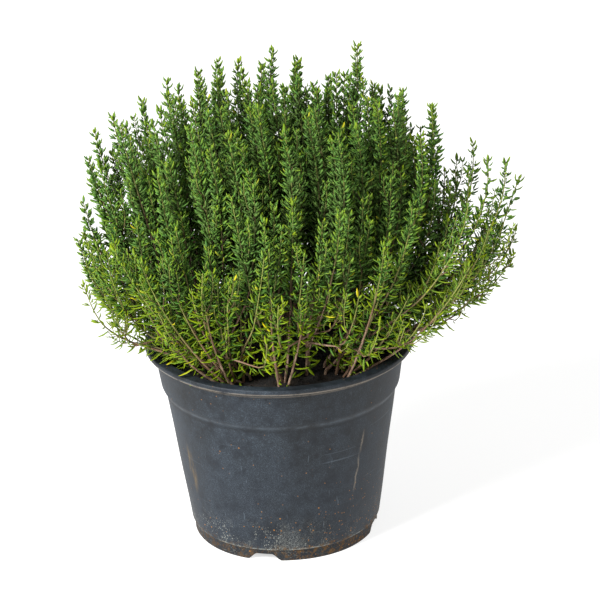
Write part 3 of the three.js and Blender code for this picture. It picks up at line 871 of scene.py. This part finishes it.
def whorls(line, chance):
    # distances of the leaf pairs along a line, closer together near the tip, each pair a quarter turn on
    isShoot = line["kind"] == "shoot"
    bare = line.get("bare", blend(leaf["bareInner"], leaf["bareOuter"], outerShare(line)))
    first = bare * line["length"] if isShoot else 1.5
    count = max(3, int((line["length"] - first) / leaf["spacing"] / (1 if isShoot else leaf["twigSize"])))
    share = (np.arange(count) + 0.4 * chance.random(count)) / count
    s = blend(first, line["length"], 1 - (1 - share) ** leaf["crowding"])
    turn = np.arange(count) * math.pi / 2 + chance.normal(0, 0.16, count) + chance.random() * 6
    return s, turn


def joined(poses):
    # one set of arrays from many
    return {key: np.concatenate([pose[key] for pose in poses]) for key in poses[0]}


def leafPoses(line, chance):
    # where each leaf stands, which way it faces and how long it is: a pair in each whorl, a tuft in each axil
    s, turn = whorls(line, chance)
    at, direction = onLine(line, s)
    x, y, z = at.T
    count, left = len(s), line["length"] - s
    nearTip = 1 - smoothStep(*leaf["tipSpan"], left)
    low = 1 - smoothStep(*leaf["lowHeights"], z)
    lowFront = low * smoothStep(*leaf["frontDepths"], -y)
    # deep inside the bush only some of the main leaves are left, and low down in front stems are half bare
    leafy = blend(leaf["leafyInner"], leaf["leafyOuter"], outerShare(line))
    inside = (left > leafy) & (line["kind"] == "shoot")
    overRim = smoothStep(*leaf["rimReach"], np.hypot(x, y)) * (1 - smoothStep(*leaf["rimHeights"], z))
    overRim = overRim * (y < leaf["rimFront"])
    mainShare = np.where(inside, 1 - leaf["insideOut"], 1 - leaf["lowOut"] * lowFront)
    mainShare = mainShare * (1 - leaf["rimOut"] * overRim)
    tuftShare = np.where(inside, 0, 1 - leaf["lowTuftsOut"] * (0.15 * low + 0.85 * lowFront))
    tuftShare = tuftShare * (0.55 + 0.45 * smoothStep(*leaf["tipTufts"], left)) * (1 - overRim)
    # the shoots on the right are thinner, so that the light shows through
    mainThin, tuftThin = [1 - out * smoothStep(*leaf["rightSide"], x) for out in leaf["rightOut"]]
    mainShare, tuftShare = mainShare * mainThin, tuftShare * tuftThin
    lot = chance.normal(0, 0.07)
    size = blend(leaf["length"], leaf["tipLength"], nearTip) * (1 + leaf["lowLonger"] * lowFront)
    size = size * (1 if line["kind"] == "shoot" else leaf["twigSize"])
    width = blend(leaf["width"], leaf["tipWidth"], nearTip) * (1 - leaf["lowNarrower"] * lowFront)
    closing = 1 - smoothStep(*leaf["closedSpan"], left)
    opening = blend(leaf["openMid"], leaf["openTop"], closing) + (leaf["openLow"] - leaf["openMid"]) * low
    radius = stemRadius(line, s / line["length"])
    poses = []

    # the leaves that are kept by chance, with all that is known of each
    def add(at, up, out, length, width, opening, keepShare, main):
        keep = chance.random(count) < keepShare
        pose = {"at": at, "up": up, "out": out, "side": np.cross(up, out), "length": length, "width": width}
        pose.update(left=left, opening=opening + chance.normal(0, 0.13, count))
        pose["main"] = np.full(count, main) & ~inside
        # main leaves a little lighter and the tufts in the axils a little darker: painted shade in the axils
        pose["lot"] = np.full(count, lot + (0.05 if main else -0.05))
        poses.append({key: value[keep] for key, value in pose.items()})

    for half in (0, math.pi):
        out, side = acrossStem(direction, turn + half + chance.normal(0, 0.12, count))
        foot = at + out * (radius * 0.6)[:, None]
        length = size * (0.84 + 0.32 * chance.random(count))
        add(foot, direction, out, length, width, opening, mainShare, True)
        # the tuft is a tiny shoot in the leaf's axil: a pair to its two sides, then a pair in and out
        grown = (0.4 + 0.6 * smoothStep(*leaf["tuftSpan"], left)) * (0.7 + 0.5 * chance.random(count))
        lean = (leaf["tuftAngle"] + chance.normal(0, 0.15, count))[:, None]
        axis = direction * np.cos(lean) + out * np.sin(lean)
        across = out * np.cos(lean) - direction * np.sin(lean)
        ways = (side, 0.45, 1), (-side, 0.45, 1), (across, 1, 0.95), (-across, 1, 0.8)
        for way, level, keepShare in ways:
            base = foot + axis * (leaf["tuftReach"] * grown * level + 0.3)[:, None]
            length = size * leaf["tuftSize"] * grown**0.5 * (0.8 + 0.4 * chance.random(count))
            wide, opened = width * 1.15, leaf["tuftOpening"] - 0.25 * level
            add(base, axis, unit(way), length, wide, opened, keepShare * tuftShare, False)
    return joined(poses)


def leafShape(pose, stations, section):
    # narrow leaf: its middle line bends as an arc, and the section's points are set off by the half width
    u = np.array(stations)[None, :, None]
    start, curl = pose["opening"][:, None, None], leaf["curl"]
    rise = (np.sin(start + curl * u) - np.sin(start)) / curl
    reach = (np.cos(start) - np.cos(start + curl * u)) / curl
    up, out, side = [pose[key][:, None, :] for key in ("up", "out", "side")]
    length = pose["length"][:, None, None]
    middle = pose["at"][:, None, :] + length * (rise * up + reach * out)
    upper = np.sin(start + curl * u) * up - np.cos(start + curl * u) * out
    half = 0.5 * pose["width"][:, None, None] * length * (np.sin(np.pi * u**0.85) ** 0.7 * (1 - 0.15 * u))
    rings = [middle + half * (side * across + upper * above) for across, above, _ in section]
    return np.stack(rings, 2), middle


def leafMesh(pose, stations, section):
    # rings of a few points between two end points for every leaf at once
    ring, _ = leafShape(pose, stations[1:-1], section)
    _, ends = leafShape(pose, [stations[0], stations[-1]], section)
    count, rings, sides = len(pose["length"]), len(stations) - 2, len(section)
    size = rings * sides + 2
    points = np.concatenate([ends[:, :1], ring.reshape(count, size - 2, 3), ends[:, 1:]], 1)
    # in each leaf the foot comes first and the tip last, with the rings between them
    order = np.concatenate([np.arange(1, size - 1), [0, size - 1]])
    shift = size * np.arange(count)[:, None, None]
    faces = [(order[face] + shift).reshape(-1, face.shape[1]) for face in tubeFaces(rings, sides, -1)]
    under = np.concatenate([[0.3], np.tile([pale for _, _, pale in section], rings), [0.3]])
    return points.reshape(-1, 3), *faces, np.tile(under, count), size


class OpenAir:
    # how open each place in the bush is: leaves are counted on a coarse grid, and those beyond it towards the
    # light are added up along five directions, each of which lets less light in the more leaves there are
    # cell in mm, then the axis, whether light comes from its far end, and how strong it is
    cell = 6.0
    directions = [(2, True, 1.4), (1, False, 1.4), (0, False, 1.0), (0, True, 0.6), (1, True, 0.4)]
    leafShade = 0.075
    ownShare = 0.4
    darkAndBright = [15, 93]

    def __init__(self, places):
        self.low = places.min(0) - self.cell
        index = self.index(places)
        count = np.zeros(index.max(0) + 2)
        np.add.at(count, tuple(index.T), 1)
        light = 0
        for axis, forwards, weight in self.directions:
            flipped = np.flip(count, axis) if forwards else count
            beyond = np.cumsum(flipped, axis) - flipped * (1 - self.ownShare)
            beyond = np.flip(beyond, axis) if forwards else beyond
            light = light + weight * np.exp(-beyond * self.leafShade)
        self.light = light
        self.darkest, self.brightest = np.percentile(light[tuple(index.T)], self.darkAndBright)

    def index(self, places):
        return ((places - self.low) / self.cell).astype(int)

    def at(self, places):
        index = np.clip(self.index(places), 0, np.array(self.light.shape) - 1)
        return np.clip((self.light[tuple(index.T)] - self.darkest) / (self.brightest - self.darkest), 0, 1)


def leafTones(pose, size, chance, air):
    # freshness and painted shade: painted shade inside the bush where little light gets in and at each leaf's
    # foot, freshest low down in front where open to the light and at the tips, and varied from leaf to leaf
    height, count = pose["at"][:, 2], len(pose["length"])
    low = 1 - smoothStep(150, 235, height - 12 * chance.random(count))
    front = smoothStep(-0.9, 0.35, -pose["at"][:, 1] / 90)
    tip = 1 - smoothStep(0, 20, pose["left"])
    lit = air.at(pose["at"] + pose["out"] * 3)
    fresh = leaf["fresh"] + leaf["lowFresh"] * low * front * lit + leaf["tipFresh"] * tip
    # painted shade: the less open air the grid finds round the leaf, the darker it is
    fresh = fresh + leaf["insideShade"] * (1 - lit) + pose["lot"]
    fresh = fresh + chance.normal(0, leaf["freshSpread"], count)
    # painted shade along each leaf: dark at its foot, brighter at its tip
    shade = blend(*leaf["baseShade"], np.linspace(0, 1, size) ** 0.7)
    return np.clip(fresh[:, None] + shade, 0, 1).ravel(), np.repeat(chance.random(count), size)


def growSpray(name, lines, poses, air, chance):
    # one spray's stems and leaves in one mesh: a part is its points, quads, triangles, tones and material
    parts = []
    for line in lines:
        points, quads, triangles, wood = stemGrid(line)
        young = (0.5 + 0.6 * chance.random()) if line["kind"] == "shoot" else 0.5
        # the stems' second channel is painted shade: the less open air round a point, the darker the stem
        tone = np.stack([wood * young, 1 - air.at(points), np.zeros(len(wood))], -1)
        parts.append((points, quads, triangles, tone, 1))
    for main, kind in ((True, "main"), (False, "small")):
        pose = {key: value[poses["main"] == main] for key, value in poses.items()}
        points, quads, triangles, under, size = leafMesh(pose, *leaf[kind])
        fresh, luck = leafTones(pose, size, chance, air)
        parts.append((points, quads, triangles, np.stack([fresh, under, luck], -1), 0))
    offset = np.cumsum([0] + [len(part[0]) for part in parts])
    faces = [np.concatenate([part[i] + start for part, start in zip(parts, offset)]) for i in (1, 2)]
    points, tone = [np.concatenate([part[i] for part in parts]) for i in (0, 3)]
    slots = np.concatenate([np.full(len(part[i]), part[4]) for i in (1, 2) for part in parts])
    piece = makePiece(name, points * mm, faces[0], [leafFinish, stemFinish], faces[1], slots)
    paint(piece, "leafTone", tone)
    return piece


sprays = layOut()
fillBetween(sprays)
lines = shootLines(sprays)
lines += twigLines(lines)
print("lines grown:", len(lines))
chances = [np.random.default_rng(leaf["seed"] + k) for k in range(len(sprays))]
owned = [[line for line in lines if line["spray"] == k] for k in range(len(sprays))]
leaves = [joined([leafPoses(line, chance) for line in own]) for own, chance in zip(owned, chances)]
air = OpenAir(np.concatenate([poses["at"] for poses in leaves]))
print("leaves placed:", sum(len(poses["at"]) for poses in leaves))
total = 0
for k in range(len(sprays)):
    node = f"spray_{k + 1:02d}"
    piece = growSpray(f"thyme{k + 1:02d}", owned[k], leaves[k], air, chances[k])
    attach(piece, "root")
    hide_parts(node)
    total += len(piece.data.loops) - 2 * len(piece.data.polygons)
print("sprays grown:", total, "triangles")

studio = dict(
    floorSize=30.0, floorColour=rgb(170, 170, 169), floorGlow=0.81, glowFade=(0.035, 0.0595),
    glowColours=((0.1, 0.1, 0.1, 1.0), (1.0, 1.0, 1.0, 1.0)), worldColour=(1.0, 1.0, 1.0, 1.0),
    worldStrength=0.42, keyPlace=(-1.7, -1.5, 1.9), keyPower=150.0, keySize=0.9, fillPlace=(1.6, -1.2, 1.2),
    fillPower=2.5, fillSize=1.6, target=(0.0, 0.0, 0.15),
)


def makeFloor():
    # one wide pale square that glows a little, apart from where the pot stands on it
    half = studio["floorSize"] / 2
    points = np.array([(-half, -half, 0), (half, -half, 0), (half, half, 0), (-half, half, 0)])
    tree = MaterialTree("paleFloor")
    away = tree.vectorMath("LENGTH", tree.place, out=1)
    glow = tree.mix(away.between(*studio["glowFade"]), *studio["glowColours"])
    emission = {"Emission_Color": glow, "Emission_Strength": studio["floorGlow"]}
    finish = tree.finish(studio["floorColour"], 0.9, **emission)
    makePiece("floor", points, [(0, 1, 2, 3)], [finish])


def aim(thing, place, target, roll=0.0):
    # at the place, looking at the target, rolled about the line of sight
    turn = (Vector(target) - Vector(place)).to_track_quat("-Z", "Y").to_matrix().to_4x4()
    thing.matrix_world = Matrix.Translation(place) @ turn @ Matrix.Rotation(roll, 4, "Z")


def makeLamp(name):
    # a square area light
    lamp = bpy.data.lights.new(name, "AREA")
    lamp.energy, lamp.size = studio[name + "Power"], studio[name + "Size"]
    aim(link(name, lamp), studio[name + "Place"], studio["target"])


camera = dict(
    focalPixels=3762.0, picture=600.0, sensor=36.0, elevation=math.radians(25.29), distance=2413.0,
    roll=math.radians(-1.984), aimHeight=60.0, aimPixel=(282.9, 435.6),
)


def makeCamera():
    # the aim point on the pot's axis shows at aimPixel, so the camera looks along the ray of the centre
    c = camera
    back = Vector((0, -math.cos(c["elevation"]), math.sin(c["elevation"])))
    right, up = Vector((1, 0, 0)), Vector((0, math.sin(c["elevation"]), math.cos(c["elevation"])))
    place = (Vector((0, 0, c["aimHeight"])) + back * c["distance"]) * mm
    x, y = [c["picture"] / 2 - pixel for pixel in c["aimPixel"]]
    u = x * math.cos(c["roll"]) + y * math.sin(c["roll"])
    w = -x * math.sin(c["roll"]) + y * math.cos(c["roll"])
    ray = right * (u / c["focalPixels"]) - up * (w / c["focalPixels"]) - back
    lens = bpy.data.cameras.new("camera")
    lens.sensor_width = c["sensor"]
    lens.lens = c["focalPixels"] / c["picture"] * c["sensor"]
    lens.clip_end = 20
    holder = link("camera", lens)
    aim(holder, place, place + ray, c["roll"])
    bpy.context.scene.camera = holder


world = bpy.data.worlds.new("studio")
bpy.context.scene.world = world
world.use_nodes = True
world.node_tree.nodes["Background"].inputs["Color"].default_value = studio["worldColour"]
world.node_tree.nodes["Background"].inputs["Strength"].default_value = studio["worldStrength"]
makeFloor()
makeLamp("key")
makeLamp("fill")
makeCamera()
bpy.context.scene.view_settings.view_transform = "Standard"
print("studio made")
